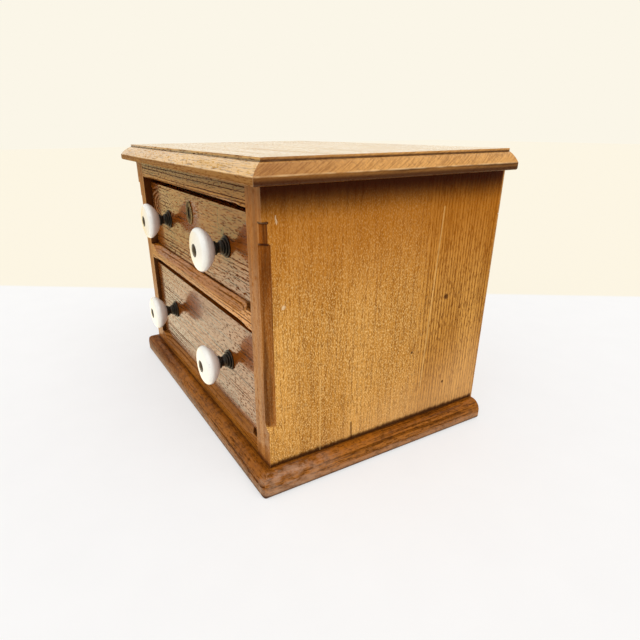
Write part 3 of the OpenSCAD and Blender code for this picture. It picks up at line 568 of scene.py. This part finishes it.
def top_edges(surface, colour):
    """Old dirt and painted shade in the step, a dark fascia that is darkest on the ends, and a painted
    highlight along the arris over it.
    """
    over_step = surface.above(TOP_STEP)
    over_arris = surface.above(TOP_ARRIS)
    step = surface.times(surface.ramp(over_step, -0.4, 0.1), surface.ramp(over_step, 1.6, 0.6))
    # Dirt and painted shade in the step under the fillet
    colour = surface.paint(colour, step, 0.85, tint(64, 26, 5))
    fascia = top_fascia(surface)
    colour = surface.paint(colour, fascia, 0.7, tint(112, 62, 12))
    streak = surface.math("MAXIMUM", surface.ramp(over_arris, -0.4, -3.4), streaks(surface, "yzx"))
    colour = surface.paint(colour, surface.times(top_ends(surface), fascia, streak), 0.9, DARK_MARK_AND_SHADE)
    patches = surface.ramp(surface.even_noise(14), 0.3, 0.7)
    arris = surface.times(surface.ramp(over_arris, -0.6, -0.1), surface.ramp(over_arris, 0.9, 0.4), patches)
    # Painted highlight along the arris between the slope and the fascia
    return surface.paint(colour, arris, 0.45, tint(240, 200, 144))


def top_patina_and_painted_light(surface, colour):
    for layer in (faces_with_painted_reflection, end_grain, top_edges):
        colour = layer(surface, colour)
    return colour


def top_oak():
    rings = {"pitch": 1.0, "pith": (444.0, -262.0), "wobble": 2.0}
    return oak("oak_top", "xyz", TOP_TONES, rings, gloss=1.0, lines=0.9, pores=0.9, relief=0.1,
               bands=top_bands, marks=top_patina_and_painted_light, varnish=top_varnish)


# Plinth

def plinth_marks(surface, colour):
    """Bare, greyish wood along the foot, and on the right near the front corner where it is knocked most; a
    painted shadow darkens the very bottom, where it meets the floor.
    """
    uneven = surface.noise(surface.place, (10, 10, 4), detail=4, roughness=0.65)
    foot = surface.ramp(surface.total(surface.z, surface.times(uneven, 8.0)), 12.5, 9.0)
    corner = surface.times(surface.ramp(surface.y, 70.0, 20.0), surface.ramp(surface.x, 153.0, 158.0))
    rubbed = surface.times(corner, surface.ramp(uneven, 0.36, 0.66))
    colour = surface.paint(colour, foot, 0.35, WORN)
    colour = surface.paint(colour, rubbed, 0.6, WORN)
    mottled = surface.ramp(surface.noise(surface.place, (7, 7, 5), detail=4, roughness=0.7), 0.45, 0.65)
    colour = surface.paint(colour, mottled, 0.4, PLINTH_TONES[2])
    # Painted shadow along the very bottom, where the plinth meets the floor
    return surface.paint(colour, surface.ramp(surface.z, 4.0, 1.5), 0.9, DARK_MARK_AND_SHADE)


def plinth_oak(name, order):
    rings = {"pitch": 1.4, "pith": (-200.0, 60.0)}
    return oak(name, order, PLINTH_TONES, rings, gloss=0.18, lines=0.45, pores=0.5, wear=0.12,
               marks=plinth_marks)


# Knobs, iron and brass

def porcelain():
    """White glaze with faint crazing, a few specks and slight waves, and painted shade in its hollows."""
    surface = Surface("porcelain")
    cells = surface.vector("SCALE", surface.place, scale=0.22)
    craze = surface.node("ShaderNodeTexVoronoi", {"Vector": cells, "Scale": 1.0}, feature="DISTANCE_TO_EDGE")
    cracks = surface.ramp(craze.outputs["Distance"], 0.03, 0.0)
    specks = surface.ramp(surface.even_noise(1.1, detail=1), 0.76, 0.80)
    clouds = surface.even_noise(9)
    colour = surface.mix(clouds, tint(247, 246, 240), tint(238, 237, 228))
    colour = surface.paint(colour, cracks, 0.1, tint(150, 140, 120))
    colour = surface.paint(colour, specks, 0.6, tint(96, 84, 68))
    # Painted shade in the knob's hollows
    colour = surface.paint(colour, surface.crevice(3), 0.5, tint(120, 112, 96))
    surface.set(Base_Color=colour, Roughness=surface.total(0.10, surface.times(clouds, 0.10)))
    surface.set(Coat_Weight=0.6, Coat_Roughness=0.06)
    surface.bump(surface.total(surface.times(clouds, 0.6), surface.times(specks, -0.4)), 0.12)
    return surface.material


def iron():
    """Dark oxidised iron with brown bloom and rubbed edges."""
    surface = Surface("iron")
    bloom = surface.even_noise(3.5, detail=4)
    grit = surface.even_noise(0.7)
    colour = surface.mix(surface.ramp(bloom, 0.4, 0.7), tint(48, 46, 42), tint(66, 50, 36))
    colour = surface.paint(colour, surface.edge(0.5), 0.5, tint(120, 112, 100))
    surface.set(Base_Color=colour, Metallic=0.75)
    surface.set(Roughness=surface.total(0.34, surface.times(bloom, 0.22)))
    surface.bump(surface.total(surface.times(grit, 0.6), bloom), 0.10)
    return surface.material


def brass():
    """Aged brass, dull brown in the hollows, with painted highlights on its edges and painted shade around
    the keyhole.
    """
    surface = Surface("brass")
    bloom = surface.even_noise(4, detail=4)
    grit = surface.even_noise(0.6)
    colour = surface.mix(surface.ramp(bloom, 0.35, 0.65), tint(126, 104, 62), tint(78, 60, 32))
    # Painted highlight along the plate's edges
    colour = surface.paint(colour, surface.edge(1.0), 0.9, tint(232, 214, 164))
    colour = surface.paint(colour, surface.crevice(2), 0.8, tint(40, 28, 14))
    # Painted shade around the keyhole
    upright = surface.times(surface.above(KEYHOLE[1]), 0.45)
    painted_keyhole_shade = surface.spot(surface.x, upright, (KEYHOLE[0], 0.0), 4.6)
    near_front = surface.ramp(surface.y, 10.0, 8.0)
    colour = surface.paint(colour, surface.times(painted_keyhole_shade, near_front), 0.95, tint(14, 9, 4))
    surface.set(Base_Color=colour, Metallic=0.85)
    surface.set(Roughness=surface.total(0.32, surface.times(bloom, 0.25)))
    surface.bump(surface.total(surface.times(grit, 0.4), bloom), 0.08)
    return surface.material


# Dressing of the CAD nodes

def soften(piece, width):
    """Rounds a piece's sharp edges a little, as wear and finishing do."""
    weld = piece.modifiers.new("join_faces", "WELD")
    weld.merge_threshold = JOIN_REACH * MM
    bevel = piece.modifiers.new("round_edges", "BEVEL")
    bevel.width = width * MM
    bevel.segments = ROUND_SEGMENTS
    bevel.limit_method = "ANGLE"
    bevel.angle_limit = radians(SHARP_ANGLE)
    flatten = piece.modifiers.new("even_shading", "WEIGHTED_NORMAL")
    flatten.weight = FLAT_FACE_WEIGHT


def dress(names, material, width=0):
    """Gives CAD nodes their material, and rounds their edges by a width in mm."""
    for name in names:
        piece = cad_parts[name]
        piece.data.materials.clear()
        piece.data.materials.append(material)
        if width:
            soften(piece, width)


def dress_case(dark_iron):
    dress(["top_board"], top_oak(), 0.7)
    dress(["left_side"], side_oak("oak_left_side", left_side_marks), 0.6)
    dress(["right_side"], side_oak("oak_right_side", right_side_marks), 0.6)
    dress(["top_rail", "middle_rail", "bottom_rail"], rail_oak(), 0.5)
    dress(["plinth_front"], plinth_oak("oak_plinth_front", "xzy"), 1.2)
    dress(["plinth_left", "plinth_right"], plinth_oak("oak_plinth_side", "yzx"), 1.2)
    strips = ["left_runner", "right_runner", "left_kicker", "right_kicker", "upper_drawer_stops",
              "lower_drawer_stops"]
    dress(strips, deal("deal_strips", "yzx", INNER_TONES), 0.3)
    dress(["bottom_board", "back_rail"], deal("deal_bottom", "xyz", INNER_TONES), 0.3)
    dress([f"back_board_{number}" for number in range(1, 6)], deal("deal_back", "xzy", BACK_TONES))
    dress(["back_nails", "top_screws"], dark_iron)


def dress_drawers(dark_iron):
    lengthways = deal("deal_drawer_side", "yzx", DRAWER_TONES)
    crossways = deal("deal_drawer_back", "xzy", DRAWER_TONES)
    flat = deal("deal_drawer_bottom", "xyz", DRAWER_TONES)
    white = porcelain()
    fronts = {"upper": flame_front_oak(), "lower": straight_front_oak()}
    for drawer, front in fronts.items():
        dress([f"{drawer}_drawer_front"], front, 0.6)
        dress([f"{drawer}_drawer_left", f"{drawer}_drawer_right"], lengthways, 0.4)
        dress([f"{drawer}_drawer_back"], crossways, 0.4)
        dress([f"{drawer}_drawer_bottom"], flat, 0.2)
        dress([f"{drawer}_left_knob", f"{drawer}_right_knob"], white)
        dress([f"{drawer}_left_stem", f"{drawer}_right_stem", f"{drawer}_knob_bolts",
               f"{drawer}_knob_washers", f"{drawer}_knob_nuts", f"{drawer}_bottom_brads"], dark_iron)


def dress_lock():
    metal = brass()
    dress(["keyhole_escutcheon"], metal, 0.25)
    dress(["lock_case", "lock_plate", "lock_bolt"], metal, 0.2)
    dress(["lock_brads"], metal)


# Stage, light and camera

def direct_ray(tree):
    """1 for rays that come from the camera, a reflection or a clear piece, 0 for diffuse light."""
    path = tree.nodes.new("ShaderNodeLightPath")
    total = path.outputs["Is Camera Ray"]
    for name in ("Is Glossy Ray", "Is Transmission Ray"):
        largest = tree.nodes.new("ShaderNodeMath")
        largest.operation = "MAXIMUM"
        tree.links.new(total, largest.inputs[0])
        tree.links.new(path.outputs[name], largest.inputs[1])
        total = largest.outputs[0]
    return total


def table_colour(surface):
    """Near-white paper, with a cream wall's tone far behind the chest."""
    paper = surface.mix(surface.even_noise(40), tint(247, 246, 245), tint(244, 243, 242))
    behind = surface.total(surface.times(surface.y, WALL_WAY[1]), surface.times(surface.x, WALL_WAY[0]))
    wall = surface.ramp(behind, WALL_DISTANCE - WALL_JOIN, WALL_DISTANCE + WALL_JOIN)
    return surface.mix(wall, paper, tint(247, 240, 222))


def table_paper():
    """Table top that keeps a soft shadow. Reflections see it warmer and brighter, most near the chest."""
    surface = Surface("floor_paper")
    colour = table_colour(surface)
    surface.set(Base_Color=colour, Roughness=0.9, Specular_IOR_Level=0.1)
    reflected = surface.node("ShaderNodeLightPath").outputs["Is Glossy Ray"]
    far = surface.ramp(surface.vector("LENGTH", surface.place), NEAR, FAR)
    mirrored = surface.mix(far, tint(255, 239, 203), tint(222, 196, 136))
    brighter = surface.total(MIRRORED_NEAR - 1, surface.times(far, MIRRORED_FAR - MIRRORED_NEAR))
    glow = surface.node("ShaderNodeEmission", {
        "Color": surface.mix(reflected, colour, mirrored),
        "Strength": surface.total(1.0, surface.times(reflected, brighter)),
    })
    seen = surface.math("MAXIMUM", surface.times(direct_ray(surface.tree), FLOOR_WHITE), reflected)
    blend = surface.node("ShaderNodeMixShader", {0: seen, 1: surface.shader.outputs[0], 2: glow.outputs[0]})
    surface.plug(surface.tree.nodes["Material Output"].inputs["Surface"], blend.outputs[0])
    return surface.material


def pale_floor():
    mesh = bpy.data.meshes.new("floor")
    reach = FLOOR_REACH
    corners = [(-reach, -reach, 0), (reach, -reach, 0), (reach, reach, 0), (-reach, reach, 0)]
    mesh.from_pydata(corners, [], [(0, 1, 2, 3)])
    mesh.materials.append(table_paper())
    floor = bpy.data.objects.new("floor", mesh)
    bpy.context.collection.objects.link(floor)
    floor.location.z = -FLOOR_DROP


def white_world():
    """Even white light; the camera and reflections see a plain pale surround."""
    world = bpy.data.worlds.new("white_room")
    world.use_nodes = True
    tree = world.node_tree
    seen = direct_ray(tree)
    strength = tree.nodes.new("ShaderNodeMapRange")
    strength.inputs["To Min"].default_value = WORLD_LIGHT
    strength.inputs["To Max"].default_value = WORLD_SEEN
    tree.links.new(seen, strength.inputs["Value"])
    cream = tree.nodes.new("ShaderNodeMix")
    cream.data_type = "RGBA"
    cream.inputs[6].default_value = tint(255, 255, 255)
    cream.inputs[7].default_value = tint(251, 246, 232)
    tree.links.new(seen, cream.inputs[0])
    background = tree.nodes["Background"]
    tree.links.new(cream.outputs[2], background.inputs["Color"])
    tree.links.new(strength.outputs[0], background.inputs["Strength"])
    bpy.context.scene.world = world


def direction(azimuth, elevation):
    """Unit vector away from the chest. Azimuth 0 is its front, 90 its right. Both angles are degrees."""
    turn = radians(azimuth)
    rise = radians(elevation)
    return Vector((sin(turn) * cos(rise), -cos(turn) * cos(rise), sin(rise)))


def sun(name, azimuth, elevation, strength, spread):
    """A soft distant light that shines from a direction. Spread is its width in degrees."""
    lamp = bpy.data.lights.new(name, "SUN")
    lamp.energy = strength
    lamp.angle = radians(spread)
    holder = bpy.data.objects.new(name, lamp)
    bpy.context.collection.objects.link(holder)
    holder.rotation_euler = direction(azimuth, elevation).to_track_quat("Z", "Y").to_euler()


def photo_camera():
    back = direction(CAMERA_AZIMUTH, CAMERA_ELEVATION)
    roll = radians(CAMERA_ROLL)
    level = Vector(UP).cross(back).normalized()
    upright = back.cross(level)
    right = level * cos(roll) + upright * sin(roll)
    up = upright * cos(roll) - level * sin(roll)
    data = bpy.data.cameras.new("camera")
    data.sensor_width = CAMERA_SENSOR
    data.lens = CAMERA_LENS
    data.shift_x, data.shift_y = CAMERA_SHIFT
    data.clip_start = CAMERA_NEAREST
    camera = bpy.data.objects.new("camera", data)
    bpy.context.collection.objects.link(camera)
    turn = Matrix((right, up, back)).transposed().to_4x4()
    camera.matrix_world = Matrix.Translation(CAMERA_PLACE) @ turn
    bpy.context.scene.camera = camera


fittings_iron = iron()
dress_case(fittings_iron)
dress_drawers(fittings_iron)
dress_lock()
pale_floor()
white_world()
sun("key", azimuth=95, elevation=58, strength=1.1, spread=50)
sun("fill", azimuth=10, elevation=50, strength=0.6, spread=70)
photo_camera()
bpy.context.scene.view_settings.view_transform = "Standard"
